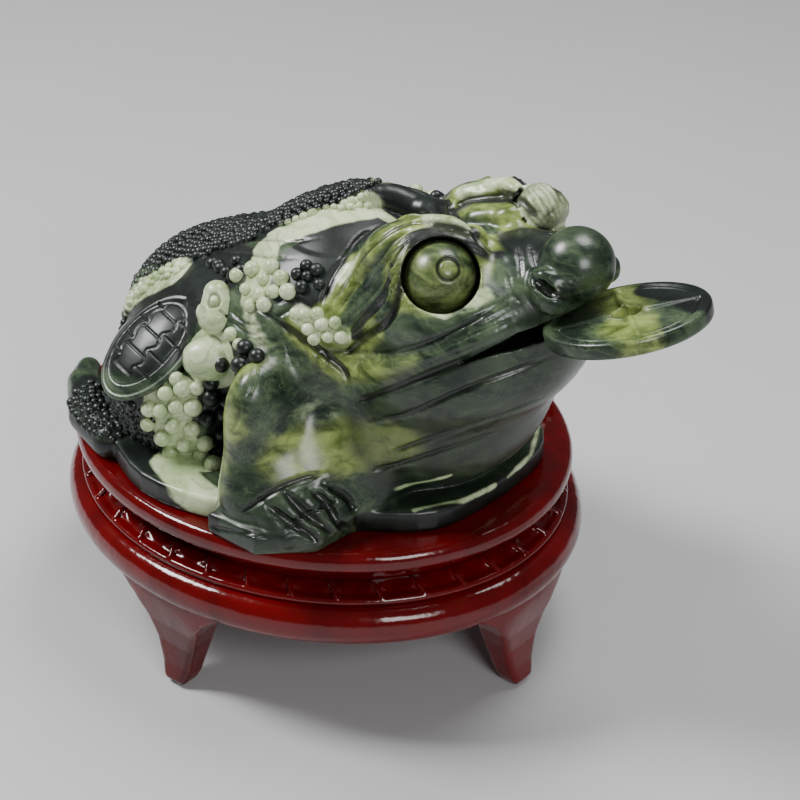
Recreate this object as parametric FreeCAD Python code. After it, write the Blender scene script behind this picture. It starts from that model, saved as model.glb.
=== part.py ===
"""Carved jade money toad with a coin in its mouth, on a red lacquered oval stand.

Millimetres, +Z up. The toad faces +X. The origin is on the floor, at the centre of the
whole object's outline, so the stand's own centre lies at x = -DATUM_X.
"""
import FreeCAD
import Part
import math
import os

V = FreeCAD.Vector

# ---- stand, seen as an oval: lengths along X, widths are OVAL times as much ----
OVAL = 0.86                 # width of the stand over its length
DECK_HALF = 106.0           # half length of the top board
DECK_TOP = 81.5
DECK_THICK = 9.0
WAIST_HALF = 93.0           # recessed board between the top board and the ring
APRON_HALF = 111.0          # half length of the moulded ring
APRON_BOTTOM = 42.0
APRON_HEIGHT = 16.0
APRON_INNER = 84.0          # half length of the hollow inside the ring
BEAD_OUTER = 108.5
BEAD_RISE = 7.0
BEAD_BLOCKS = 30
BEAD_NOTCH_WIDE = 1.6
BEAD_NOTCH_DEEP = 1.8
GLUE_GAP = 0.05             # glue line round pegs and between nested rings

LEG_THICK = 13.0
LEG_TOP_HALF = 22.0
LEG_FOOT_HALF = 6.0
LEG_BACK = 20.0             # how far the leg's back lies inside the ring's edge
DOWEL_RADIUS = 3.0
DOWEL_LENGTH = 20.0
DOWEL_SPACING = 18.0
SCREW_RADIUS = 2.0
SCREW_HEAD = 4.0
SCREW_RING = 60.0           # half length of the oval that the screws stand on
SCREW_BITE = 5.5            # how deep a screw goes into the top board

# ---- coin and the mouth that holds it ----
COIN_RADIUS = 29.6
COIN_THICK = 6.2
COIN_RIM = 3.4
COIN_RECESS = 0.7
COIN_HOLE = 8.6             # side of the square hole
COIN_PITCH = 16.0           # degrees, outer edge up
COIN_X = 143.7
COIN_Z = 178.0
SEAT_GAP = 0.35             # air over, under and behind the coin in the stone
MOUTH_BACK = 84.0           # from the coin's centre back to the corners of the jaw
CORE_BACK = 70.0            # centre of the stone that joins the jaws behind the lips
CORE_RADIUS = 42.0
REST_GAP = 0.1              # between the stone's underside and the top board

# ---- toad, heights over the stone's underside; pitch is nose up ----
STONE_BASE = DECK_TOP + REST_GAP
MASSES = (                  # centre, radii, pitch
    ((-14.0, 0.0, 43.0), (80.0, 62.0, 40.0), 29.0),     # trunk
    ((26.0, 0.0, 56.0), (46.0, 57.0, 52.0), 25.0),      # shoulders
    ((78.0, 0.0, 87.0), (45.0, 47.0, 22.0), 12.0),      # head
    ((78.0, 0.0, 62.0), (47.0, 48.0, 30.0), 30.0),      # lower jaw
    ((58.0, 0.0, 34.0), (46.0, 46.0, 34.0), 20.0),      # throat
)
SLAB_THICK = 9.5
SLAB = ((91.0, 14.0), (86.0, 34.0), (68.0, 50.0), (46.0, 62.0), (20.0, 80.0), (-12.0, 86.0),
        (-40.0, 76.0), (-62.0, 60.0), (-86.0, 34.0), (-93.0, 0.0))
NOSE_AT = (121.5, 0.0, 110.5)
NOSE_RADII = (13.6, 14.4, 13.4)
NOSTRIL_AT = (119.0, 14.0, 105.5)
NOSTRIL_RADIUS = 8.0
EYE_AT = (84.0, 25.5, 103.0)
EYE_RADIUS = 15.0
BROW_AT = (71.0, 22.0, 107.0)
BROW_RADII = (24.0, 15.0, 14.5)
THIGH_AT = (-40.0, 50.0, 26.0)
THIGH_RADII = (39.0, 30.0, 29.0)
SHELL_AT = (-42.0, 56.0, 44.0)
SHELL_RADII = (24.0, 15.0, 20.0)
TURTLE_HEAD_AT = (-9.0, 51.0, 66.0)
TURTLE_HEAD_RADIUS = 9.0
REAR_FOOT_AT = (-70.0, 55.0, 7.0)
REAR_FOOT_RADII = (27.0, 17.0, 9.0)
FOOT = ((20.0, 62.0), (40.0, 90.0))     # the front foot's span in x, and in |y|
SHOULDER = ((26.0, 70.0), (36.0, 66.0), 68.0)
FOOT_THICK = 12.0

TILT = math.radians(COIN_PITCH)
REACH = COIN_X + COIN_RADIUS * math.cos(TILT) + COIN_THICK / 2 * math.sin(TILT)
DATUM_X = (REACH - APRON_HALF) / 2


# ---------------------------------------------------------------- helpers
def oval(shape):
    """Squeeze a turned shape in Y, which makes its circles ovals."""
    matrix = FreeCAD.Matrix()
    matrix.A22 = OVAL
    return shape.transformGeometry(matrix)


def turned(outline):
    """A solid turned about Z from (radius, height) points, squeezed to the stand's oval."""
    points = [V(radius, 0, height) for radius, height in outline]
    face = Part.Face(Part.makePolygon(points + points[:1]))
    return oval(face.revolve(V(0, 0, 0), V(0, 0, 1), 360))


def bullnose(outer, inner, bottom, top, bulge, steps=6):
    """Outline of a ring with a rounded outer edge, as (radius, height) points."""
    middle = (bottom + top) / 2
    half = (top - bottom) / 2
    edge = []
    for i in range(steps + 1):
        turn = math.radians(-90 + 180 * i / steps)
        edge.append((outer - bulge + bulge * math.cos(turn), middle + half * math.sin(turn)))
    return [(inner, bottom)] + edge + [(inner, top)]


def ellipsoid(centre, radii, pitch=0.0):
    matrix = FreeCAD.Matrix()
    matrix.scale(V(*radii))
    ball = Part.makeSphere(1).transformGeometry(matrix)
    ball.rotate(V(0, 0, 0), V(0, 1, 0), -pitch)
    ball.translate(V(*centre))
    return ball


def lifted(centre, side=1):
    """A place given over the stone's underside, on the left (side 1) or the right (side -1)."""
    return (centre[0], centre[1] * side, centre[2] + STONE_BASE)


def write(name, shape):
    shape = shape.copy()
    shape.translate(V(-DATUM_X, 0, 0))
    shape.exportStep("parts/" + name + ".step")
    print(name, "valid", shape.isValid(), "solids", len(shape.Solids), "volume", round(shape.Volume))


# ---------------------------------------------------------------- stand
def screw_places():
    return [(SCREW_RING * math.cos(math.radians(turn)), SCREW_RING * OVAL * math.sin(math.radians(turn)))
            for turn in (45, 135, 225, 315)]


def make_screw(x, y):
    """A countersunk wood screw, head down, under the waist board."""
    bottom = APRON_BOTTOM + APRON_HEIGHT
    head = Part.makeCone(SCREW_HEAD, SCREW_RADIUS, SCREW_HEAD - SCREW_RADIUS, V(x, y, bottom))
    length = DECK_TOP - DECK_THICK + SCREW_BITE - bottom
    shank = Part.makeCylinder(SCREW_RADIUS, length - SCREW_RADIUS, V(x, y, bottom))
    tip = Part.makeCone(SCREW_RADIUS, 0.3, SCREW_RADIUS, V(x, y, bottom + length - SCREW_RADIUS))
    return head.fuse([shank, tip]).removeSplitter()


def make_deck(screws):
    bottom = DECK_TOP - DECK_THICK
    deck = turned(bullnose(DECK_HALF, 0, bottom, DECK_TOP, 3.5))
    return deck.cut(screws)


def make_waist(screws):
    bottom = APRON_BOTTOM + APRON_HEIGHT
    top = DECK_TOP - DECK_THICK
    waist = turned([(0, bottom), (WAIST_HALF, bottom), (WAIST_HALF, top), (0, top)])
    return waist.cut(screws)


def make_beading():
    """Sloping band round the waist, cut into blocks by narrow notches."""
    bottom = APRON_BOTTOM + APRON_HEIGHT
    inner = WAIST_HALF + 2 * GLUE_GAP
    band = turned([(inner, bottom), (BEAD_OUTER, bottom), (BEAD_OUTER, bottom + 1.8),
                   (inner + 3, bottom + BEAD_RISE), (inner, bottom + BEAD_RISE)])
    notches = []
    for i in range(BEAD_BLOCKS):
        turn = math.radians(360 * (i + 0.5) / BEAD_BLOCKS)
        notch = Part.makeBox(14, BEAD_NOTCH_WIDE, 8, V(0, -BEAD_NOTCH_WIDE / 2, 0))
        notch.rotate(V(0, 0, 0), V(0, 1, 0), math.degrees(math.atan2(BEAD_RISE - 1.8, 12)))
        notch.translate(V(inner + 2.5, 0, bottom + BEAD_RISE - BEAD_NOTCH_DEEP))
        notch.rotate(V(0, 0, 0), V(0, 0, 1), math.degrees(turn))
        reach = math.hypot(math.cos(turn), OVAL * math.sin(turn))
        notch.translate(V((reach - 1) * inner * math.cos(turn), (reach - 1) * inner * math.sin(turn), 0))
        notches.append(notch)
    return band.cut(notches)


def dowel_places():
    """Centres of the pegs, two to a leg: (leg number, x, y)."""
    places = []
    for leg in range(4):
        reach = (APRON_HALF if leg % 2 == 0 else APRON_HALF * OVAL) - LEG_BACK + LEG_THICK / 2 + 1.5
        for side in (-1, 1):
            spot = V(reach, side * DOWEL_SPACING / 2, 0)
            turned_spot = FreeCAD.Rotation(V(0, 0, 1), 90 * leg).multVec(spot)
            places.append((leg, turned_spot.x, turned_spot.y))
    return places


def make_dowels():
    low = APRON_BOTTOM - DOWEL_LENGTH / 2
    return [Part.makeCylinder(DOWEL_RADIUS, DOWEL_LENGTH, V(x, y, low)) for leg, x, y in dowel_places()]


def dowel_holes():
    low = APRON_BOTTOM - DOWEL_LENGTH / 2 - GLUE_GAP
    return [Part.makeCylinder(DOWEL_RADIUS + GLUE_GAP, DOWEL_LENGTH + 2 * GLUE_GAP, V(x, y, low))
            for leg, x, y in dowel_places()]


def make_apron():
    ring = turned(bullnose(APRON_HALF, APRON_INNER, APRON_BOTTOM, APRON_BOTTOM + APRON_HEIGHT, 6.0))
    return ring.cut(dowel_holes())


def make_leg(number):
    """A bracket leg: wide where it meets the ring, narrow and slightly flared at the foot."""
    half = APRON_HALF if number % 2 == 0 else APRON_HALF * OVAL
    top = APRON_BOTTOM
    flare = [(LEG_TOP_HALF, top), (LEG_TOP_HALF * 0.62, top * 0.74),
             (LEG_FOOT_HALF * 1.3, top * 0.3), (LEG_FOOT_HALF, 0)]
    sides = []
    for side in (1, -1):
        curve = Part.BSplineCurve()
        curve.interpolate([V(0, side * across, height) for across, height in flare])
        sides.append(curve.toShape())
    foot = Part.makeLine(V(0, LEG_FOOT_HALF, 0), V(0, -LEG_FOOT_HALF, 0))
    brow = Part.makeLine(V(0, -LEG_TOP_HALF, top), V(0, LEG_TOP_HALF, top))
    outline = Part.Wire(Part.__sortEdges__([sides[0], foot, sides[1], brow]))
    front = Part.Face(outline).extrude(V(half + 10, 0, 0))
    outer = Part.BSplineCurve()
    outer.interpolate([V(half - 5.5, 0, top), V(half - 8, 0, top * 0.6), V(half - 10, 0, top * 0.3),
                       V(half - 7, 0, 0)])
    inner = half - LEG_BACK
    edges = [outer.toShape(), Part.makeLine(V(half - 7, 0, 0), V(inner + 3, 0, 0)),
             Part.makeLine(V(inner + 3, 0, 0), V(inner, 0, top * 0.5)),
             Part.makeLine(V(inner, 0, top * 0.5), V(inner, 0, top)),
             Part.makeLine(V(inner, 0, top), V(half - 5.5, 0, top))]
    profile = Part.Face(Part.Wire(edges)).extrude(V(0, 2 * LEG_TOP_HALF + 2, 0))
    profile.translate(V(0, -LEG_TOP_HALF - 1, 0))
    leg = front.common(profile)
    leg.rotate(V(0, 0, 0), V(0, 0, 1), 90 * number)
    return leg.cut(dowel_holes())


# ---------------------------------------------------------------- coin
def at_coin(shape):
    """Move a shape from the coin's own frame, centred and flat, to its place in the mouth."""
    shape.rotate(V(0, 0, 0), V(0, 1, 0), -COIN_PITCH)
    shape.translate(V(COIN_X, 0, COIN_Z))
    return shape


def make_coin():
    coin = Part.makeCylinder(COIN_RADIUS, COIN_THICK, V(0, 0, -COIN_THICK / 2))
    hole = Part.makeBox(COIN_HOLE, COIN_HOLE, COIN_THICK * 2, V(-COIN_HOLE / 2, -COIN_HOLE / 2, -COIN_THICK))
    field = Part.makeCylinder(COIN_RADIUS - COIN_RIM, COIN_RECESS, V(0, 0, COIN_THICK / 2 - COIN_RECESS))
    under = Part.makeCylinder(COIN_RADIUS - COIN_RIM, COIN_RECESS, V(0, 0, -COIN_THICK / 2))
    return at_coin(coin.cut([hole, field, under]))


def mouth_gap():
    """What is cut from the head: the coin's seat, and the parted lips round to the jaw corners."""
    seat = Part.makeCylinder(COIN_RADIUS + SEAT_GAP, COIN_THICK + 2 * SEAT_GAP,
                             V(0, 0, -COIN_THICK / 2 - SEAT_GAP))
    wide = COIN_RADIUS + SEAT_GAP
    runway = Part.makeBox(60, 2 * wide, COIN_THICK + 2 * SEAT_GAP,
                          V(0, -wide, -COIN_THICK / 2 - SEAT_GAP))
    lips = Part.makeBox(120, 160, COIN_THICK + 2 * SEAT_GAP,
                        V(-MOUTH_BACK, -80, -COIN_THICK / 2 - SEAT_GAP))
    core = Part.makeCylinder(CORE_RADIUS, 20, V(-CORE_BACK, 0, -10))
    behind = Part.makeBox(40, 2 * CORE_RADIUS, 20, V(-CORE_BACK - 40, -CORE_RADIUS, -10))
    return [at_coin(seat), at_coin(runway), at_coin(lips.cut(core.fuse(behind)))]


# ---------------------------------------------------------------- toad
def make_slab():
    """The flat stone that the toad sits on, left in one with it."""
    outline = list(SLAB) + [(x, -y) for x, y in reversed(SLAB[:-1])]
    curve = Part.BSplineCurve()
    curve.interpolate([V(x, y, STONE_BASE) for x, y in outline], PeriodicFlag=True)
    return Part.Face(Part.Wire(curve.toShape())).extrude(V(0, 0, SLAB_THICK))


def make_front_leg(side):
    """A broad wedge from the shoulder down to the flat foot."""
    (foot_back, foot_front), (foot_in, foot_out) = FOOT
    (top_back, top_front), (top_in, top_out), top = SHOULDER
    rows = ((foot_back, foot_front, foot_in, foot_out, 0.0),
            (foot_back, foot_front - 6, foot_in, foot_out - 3, FOOT_THICK),
            (top_back - 4, top_front - 8, top_in, top_out + 6, top * 0.6),
            (top_back, top_front, top_in, top_out, top))
    wires = []
    for back, front, near, far, height in rows:
        corners = [V(x, side * y, STONE_BASE + height)
                   for x, y in ((back, near), (front, near), (front, far), (back, far))]
        wires.append(Part.makePolygon(corners + corners[:1]))
    return Part.makeLoft(wires, True, True)


def make_toad():
    pieces = [ellipsoid(lifted(centre), radii, pitch) for centre, radii, pitch in MASSES[1:]]
    for side in (-1, 1):
        pieces.append(make_front_leg(side))
        pieces.append(ellipsoid(lifted(THIGH_AT, side), THIGH_RADII))
        pieces.append(ellipsoid(lifted(BROW_AT, side), BROW_RADII))
        pieces.append(Part.makeSphere(EYE_RADIUS, V(*lifted(EYE_AT, side))))
        pieces.append(Part.makeSphere(NOSTRIL_RADIUS, V(*lifted(NOSTRIL_AT, side))))
        pieces.append(ellipsoid(lifted(REAR_FOOT_AT, side), REAR_FOOT_RADII))
    pieces.append(ellipsoid(lifted(NOSE_AT), NOSE_RADII))
    pieces.append(ellipsoid(lifted(SHELL_AT, -1), SHELL_RADII))
    pieces.append(Part.makeSphere(TURTLE_HEAD_RADIUS, V(*lifted(TURTLE_HEAD_AT, -1))))
    trunk_at, trunk_radii, trunk_pitch = MASSES[0]
    toad = ellipsoid(lifted(trunk_at), trunk_radii, trunk_pitch).fuse(pieces)
    below = Part.makeBox(400, 400, 100, V(-200, -200, STONE_BASE - 100))
    toad = toad.cut(below).fuse(make_slab())
    return toad.cut(mouth_gap())


# ---------------------------------------------------------------- all sub-parts
def main():
    os.makedirs("parts", exist_ok=True)
    screws = [make_screw(x, y) for x, y in screw_places()]
    write("stand_deck", make_deck(screws))
    write("stand_waist", make_waist(screws))
    write("stand_beading", make_beading())
    write("stand_apron", make_apron())
    for number, name in enumerate(("front", "left", "rear", "right")):
        write("leg_" + name, make_leg(number))
    write("leg_dowels", Part.Compound(make_dowels()))
    write("deck_screws", Part.Compound(screws))
    write("coin", make_coin())
    write("toad_carving", make_toad())


main()
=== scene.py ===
"""Carved jade money toad with a coin, on a red lacquered stand: the visual model.

The toad is sculpted as a solid field in millimetres, in its own frame: x the way it
faces, y to its left, z up, with the origin under it on the top board of the stand.
"""
import bmesh
import bpy
import numpy as np
import openvdb
from math import cos, exp, pi, radians, sin, sqrt
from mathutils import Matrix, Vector


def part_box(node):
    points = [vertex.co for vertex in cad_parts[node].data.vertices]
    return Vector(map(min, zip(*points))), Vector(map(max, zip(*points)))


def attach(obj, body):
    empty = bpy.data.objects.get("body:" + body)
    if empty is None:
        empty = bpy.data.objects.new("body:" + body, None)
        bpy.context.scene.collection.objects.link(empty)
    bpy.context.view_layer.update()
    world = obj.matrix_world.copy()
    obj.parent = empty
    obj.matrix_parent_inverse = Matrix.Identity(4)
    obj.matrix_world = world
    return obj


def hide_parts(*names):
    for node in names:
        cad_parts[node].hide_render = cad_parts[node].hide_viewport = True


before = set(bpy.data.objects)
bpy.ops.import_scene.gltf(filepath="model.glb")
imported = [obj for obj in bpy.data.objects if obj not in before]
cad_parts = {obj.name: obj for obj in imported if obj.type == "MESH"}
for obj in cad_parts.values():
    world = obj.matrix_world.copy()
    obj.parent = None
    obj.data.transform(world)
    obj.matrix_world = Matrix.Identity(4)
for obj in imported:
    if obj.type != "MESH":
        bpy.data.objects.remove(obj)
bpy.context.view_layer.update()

# ---- places
DECK_LOW, DECK_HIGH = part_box("stand_deck")
TOAD_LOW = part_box("toad_carving")[0]
CENTRE_X = (DECK_LOW[0] + DECK_HIGH[0]) / 2
TOAD_ORIGIN = np.array([CENTRE_X, 0, TOAD_LOW[2]])
STEP = 0.72     # grid spacing of the sculpture, mm
MM = 1000                              # millimetres in a metre


def to_row(points):
    """Millimetres in the toad's frame to metres in the row's frame."""
    return np.asarray(points, float) / MM + TOAD_ORIGIN


def on_floor(points):
    """Millimetres from the floor under the stand's middle to metres in the row's frame."""
    return np.asarray(points, float) / MM + np.array([CENTRE_X, 0, 0])


# ---- sculpting field
def smooth_min(a, b, blend):
    if blend <= 0:
        return np.minimum(a, b)
    h = np.maximum(blend - np.abs(a - b), 0) / blend
    return np.minimum(a, b) - h * h * blend / 4


def turn_matrix(pitch=0.0, yaw=0.0, roll=0.0):
    """Columns are a body's own axes after roll about x, pitch (nose up) and yaw, in degrees."""
    p, w, r = (radians(angle) for angle in (pitch, yaw, roll))
    about_x = np.array([[1, 0, 0], [0, cos(r), -sin(r)], [0, sin(r), cos(r)]])
    about_y = np.array([[cos(p), 0, -sin(p)], [0, 1, 0], [sin(p), 0, cos(p)]])
    about_z = np.array([[cos(w), -sin(w), 0], [sin(w), cos(w), 0], [0, 0, 1]])
    return about_z @ about_y @ about_x


class Clay:
    """A block of signed distances on a grid, negative inside the stone."""

    def __init__(self, low, high, step):
        self.low = np.array(low, float)
        self.step = step
        self.count = np.ceil((np.array(high) - self.low) / step).astype(int) + 1
        self.field = np.full(self.count, 40.0, np.float32)

    def window(self, low, high):
        first = np.clip(np.floor((np.array(low) - self.low) / self.step).astype(int), 0, self.count)
        last = np.clip(np.ceil((np.array(high) - self.low) / self.step).astype(int) + 1, 0, self.count)
        part = tuple(slice(a, b) for a, b in zip(first, last))
        axes = [(self.low[i] + self.step * np.arange(first[i], last[i])).astype(np.float32)
                for i in range(3)]
        return part, axes[0][:, None, None], axes[1][None, :, None], axes[2][None, None, :]

    def add(self, shape, blend=0.0, sign=1):
        """Join a shape to the stone. A sign of -1 cuts it out instead."""
        part, x, y, z = self.window(*shape.span(blend + 2 * self.step))
        if self.field[part].size:
            self.field[part] = sign * smooth_min(sign * self.field[part], shape.distance(x, y, z), blend)

    def cut(self, shape, blend=0.0):
        self.add(shape, blend, -1)

    def sample(self, points, field=None):
        """Field values at points, by straight interpolation."""
        field = self.field if field is None else field
        at = np.clip((np.asarray(points, float) - self.low) / self.step, 0, self.count - 1.001)
        cell = np.floor(at).astype(int)
        part = at - cell
        total = np.zeros(len(at))
        for corner in np.ndindex(2, 2, 2):
            x, y, z = np.where(corner, part, 1 - part).T
            total += x * y * z * field[tuple((cell + corner).T)]
        return total

    def normal(self, points):
        points = np.asarray(points, float)
        slope = np.stack([self.sample(points + d) - self.sample(points - d)
                          for d in np.eye(3) * self.step], 1)
        return slope / np.maximum(np.linalg.norm(slope, axis=1, keepdims=True), 1e-6)

    def settle(self, points, rounds=12):
        """Move points onto the surface along the field's slope."""
        points = np.array(points, float)
        for _ in range(rounds):
            points -= self.normal(points) * self.sample(points)[:, None] * 0.8
        return points

    def mesh(self, name, place=to_row):
        grid = openvdb.FloatGrid(self.step * 3)
        grid.copyFromArray(self.field)
        points, triangles, quads = grid.convertToPolygons(isovalue=0.0)
        points = points * self.step + self.low
        return new_mesh(name, place(points), quads[:, ::-1])


def new_mesh(name, points, faces):
    data = bpy.data.meshes.new(name)
    faces = faces.tolist() if hasattr(faces, "tolist") else faces
    data.from_pydata(np.asarray(points).tolist(), [], faces)
    data.validate()
    data.update()
    data.polygons.foreach_set("use_smooth", [True] * len(data.polygons))
    piece = bpy.data.objects.new(name, data)
    bpy.context.collection.objects.link(piece)
    return piece


class Solid:
    """A shape from its distance function, negative inside, and a box round it."""

    def __init__(self, low, high, distance):
        self.low, self.high = np.array(low, float), np.array(high, float)
        self.distance = distance

    def span(self, margin):
        return self.low - margin, self.high + margin


def inside_both(a, b, edge):
    """Distance to what lies inside two shapes at once, with its edge rounded."""
    return (-smooth_min(-a, -b, edge)).astype(np.float32)


def spaced(value, count):
    """One radius for each of a number of places."""
    return np.array(value if hasattr(value, "__len__") else (value,) * count, float)


def egg(centre, radii, turn=np.eye(3)):
    """An ellipsoid, turned by a matrix."""
    centre, radii = np.array(centre, float), spaced(radii, 3)
    reach = np.sqrt(((turn * radii) ** 2).sum(1))

    def distance(x, y, z):
        x, y, z = x - centre[0], y - centre[1], z - centre[2]
        near = far = 0
        for axis, radius in zip(turn.T, radii):
            along = x * axis[0] + y * axis[1] + z * axis[2]
            near = near + (along / radius) ** 2
            far = far + (along / radius ** 2) ** 2
        near = np.sqrt(near)
        return (near * (near - 1) / np.sqrt(np.maximum(far, 1e-12))).astype(np.float32)

    return Solid(centre - reach, centre + reach, distance)


def rope(points, radii):
    """A round bar along points, with a radius at each point."""
    points, radii = np.array(points, float), spaced(radii, len(points))

    def distance(x, y, z):
        best = None
        for a, b, ra, rb in zip(points[:-1], points[1:], radii[:-1], radii[1:]):
            run = b - a
            share = (x - a[0]) * run[0] + (y - a[1]) * run[1] + (z - a[2]) * run[2]
            share = np.clip(share / max(run @ run, 1e-9), 0, 1)
            gap = np.sqrt((x - a[0] - share * run[0]) ** 2 + (y - a[1] - share * run[1]) ** 2
                          + (z - a[2] - share * run[2]) ** 2) - (ra + share * (rb - ra))
            best = gap if best is None else np.minimum(best, gap)
        return best.astype(np.float32)

    return Solid(points.min(0) - radii.max(), points.max(0) + radii.max(), distance)


def block(faces, low, high, edge):
    """The space inside flat faces, each given by a point and an outward direction."""
    def distance(x, y, z):
        worst = None
        for point, out in faces:
            out = unit(out)
            gap = (x - point[0]) * out[0] + (y - point[1]) * out[1] + (z - point[2]) * out[2]
            worst = gap if worst is None else -smooth_min(-worst, -gap, edge)
        return worst.astype(np.float32)

    return Solid(low, high, distance)


def outline_distance(outline, a, b):
    """Signed distance of flat points (a, b) to a closed outline, negative inside."""
    a, b = np.broadcast_arrays(a, b)
    best = np.full(a.shape, 1e9)
    inside = np.zeros(a.shape, bool)
    for start, end in zip(outline, np.roll(outline, -1, 0)):
        run = end - start
        share = np.clip(((a - start[0]) * run[0] + (b - start[1]) * run[1]) / max(run @ run, 1e-9), 0, 1)
        best = np.minimum(best, np.hypot(a - start[0] - share * run[0], b - start[1] - share * run[1]))
        slope = run[1] or 1e-9
        inside ^= ((start[1] > b) != (end[1] > b)) & (a < start[0] + (b - start[1]) * run[0] / slope)
    return np.where(inside, -best, best)


def plan(outline, bottom, top, edge):
    """An upright plate: a closed outline seen from above, between two heights."""
    outline = np.array(outline, float)

    def distance(x, y, z):
        side = outline_distance(outline, x[:, :, 0], y[:, :, 0])[:, :, None]
        return inside_both(side, np.maximum(bottom - z, z - top), edge)

    return Solid((*outline.min(0), bottom), (*outline.max(0), top), distance)


def disc(radius, bottom, top, edge, squeeze=1.0):
    """A round plate about Z, between two heights. Squeeze makes it oval."""
    def distance(x, y, z):
        side = np.hypot(x, y / squeeze) - radius
        return inside_both(side, np.maximum(bottom - z, z - top), edge)

    return Solid((-radius, -radius, bottom), (radius, radius, top), distance)


def bracket(front, side, edge):
    """What lies inside two outlines at once: one seen along x (y, z), one along y (x, z)."""
    front, side = np.array(front, float), np.array(side, float)

    def distance(x, y, z):
        return inside_both(outline_distance(front, y[0], z[0])[None],
                           outline_distance(side, x[:, 0], z[0])[:, None], edge)

    (low, bottom), (high, top) = side.min(0), side.max(0)
    return Solid((low, front[:, 0].min(), bottom), (high, front[:, 0].max(), top), distance)


def curve_through(points, count=24, closed=False):
    """Evenly counted points on a smooth curve through the given ones (Catmull-Rom)."""
    points = np.array(points, float)
    before, after = 2 * points[:1] - points[1:2], 2 * points[-1:] - points[-2:-1]
    if closed:
        before, after = points[-1:], points[:2]
    padded = np.concatenate([before, points, after])
    spans = len(points) if closed else len(points) - 1
    result = []
    for at in np.linspace(0, spans, count + (0 if closed else 1))[:count + 1]:
        i = min(int(at), spans - 1)
        t = at - i
        a, b, c, d = padded[i:i + 4]
        result.append(0.5 * (2 * b + (c - a) * t + (2 * a - 5 * b + 4 * c - d) * t * t
                             + (3 * b - a - 3 * c + d) * t ** 3))
    return np.array(result)


def mirrored(points, side):
    """A point or a line given for the left side, on the side asked for."""
    return np.array(points, float) * (1, side, 1)


def unit(vector):
    return np.array(vector, float) / np.linalg.norm(vector)


def square_to(axis):
    """Two directions square to an axis and to each other, the first one level."""
    across = unit(np.cross(axis, (0.0, 0.0, 1.0)))
    return across, np.cross(across, axis)


def circle(across, upward, turns):
    """Points on a unit circle, at turns counted from across toward upward."""
    turns = np.asarray(turns)[..., None]
    return np.cos(turns) * across + np.sin(turns) * upward


# ---- the toad's masses
EYE = (80.6, 25.0, 101.6)
EYE_RADIUS = 13.2
EYE_GAP = 0.5
SOCKET_AXIS = (0.55, 0.64, 0.53)     # on the left; the right one is its mirror image
GAZE = (0.635, 0.42, 0.65)
NOSE = (121.5, 0.0, 110.5)
NOSE_RADIUS = 13.4
SLAB_THICK = 9.5
SLAB = ((91, 14), (86, 34), (68, 50), (46, 62), (20, 80), (-12, 86), (-40, 76), (-62, 60),
        (-86, 34), (-93, 0))
MOUTH_LINE = (
    (60, 52.3), (64, 55), (78, 65), (92, 74.6), (103, 81.4), (109, 85.2), (115, 88.2), (120, 89.7),
    (126, 91.4), (140, 95.4))
MOUTH_OPEN = ((97, -0.8), (101, 0.4), (106, 1.0), (111, 2.0), (115, 3.4), (140, 3.5))
MOUTH_CREASE = ((58, 47, 51), (64, 46, 55), (78, 46, 65), (92, 44, 75), (101, 40, 81), (108, 36, 86))
MOUTH_DEPTH = 12.0
SIGHT = (513.0, 562.0, 470.0)        # lines are laid on the stone along rays from here


# Centre, radii, pitch and yaw in degrees, and how softly each mass joins the ones before it.
TRUNK = (
    ((-14, 0, 42.5), (80, 62, 39), 28.5, 0, 0), ((26, 0, 55), (46, 56, 51), 25, 0, 14), ((78, 0, 87),
    (45, 47, 22), 12, 0, 12), ((78, 0, 62), (47, 48, 30), 30, 0, 10), ((58, 0, 34),
    (46, 46, 34), 20, 0, 10))
HAUNCH_AND_BROW = (
    ((-29, 47, 28), (34, 29, 29), 0, 8, 8), ((68, 20, 102.5), (24, 15, 14.5), 10, -8, 8),
    (EYE, EYE_RADIUS + 2.2, 0, 0, 6))
RUMP_AND_SNOUT = (
    ((-46, 0, 38), (38, 44, 28), 0, 0, 10), ((104, 0, 102), (20, 16, 12), 10, 0, 8),
    (NOSE, NOSE_RADIUS, 0, 0, 1.5))
NOSE_WING = (((120, 14, 105.5), (9.5, 7, 6.5), -35, 20, 1.5),)


def build_masses(clay):
    """The smooth forms: trunk, head, throat, haunches, brows, snout."""
    for masses, sides in ((TRUNK, (1,)), (HAUNCH_AND_BROW, (-1, 1)), (RUMP_AND_SNOUT, (1,)),
                          (NOSE_WING, (-1, 1))):
        for side in sides:
            for centre, radii, pitch, yaw, blend in masses:
                turn = turn_matrix(pitch, yaw * side)
                clay.add(egg(mirrored(centre, side), radii, turn), blend)


def build_front_leg(clay, side):
    """A wedge with a straight rear edge, from the shoulder to the flat foot."""
    faces = (((18, 88, 0), (-1.0, 0.22, 0.1)), ((24, 90.5, 0), (0.1, 1.0, 0.22)),
             ((66, 64, 6), (0.8, 0.35, 0.55)), ((38, 70, 76), (-0.15, 0.5, 1.0)),
             ((0, 0, 0), (0, 0, -1)), ((0, 30, 0), (0, -1, 0)))
    faces = [mirrored(face, side) for face in faces]
    near, far = sorted((28 * side, 92 * side))
    clay.add(block(faces, (12, near, 0), (84, far, 84), 18), 8)
    clay.add(egg(mirrored((30, 65, 46), side), (10, 15, 19), turn_matrix(roll=-8 * side)), 8)
    clay.add(egg(mirrored((44, 36, 22), side), 23.5), 8)
    foot = np.array(((22, 88), (46, 88), (62, 72), (64, 50), (44, 34), (24, 40)))
    clay.add(plan(foot * (1, side), 0, 9, 2), 2.5)


def build_rear_foot(clay, side):
    """The webbed hind foot that shows behind the haunch, over the slab's edge."""
    line = (-46, 72, 6), (-64, 66, 7), (-82, 52, 8), (-88, 44, 9)
    clay.add(rope(mirrored(line, side), (8, 8.5, 7, 5)), 4)


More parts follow.
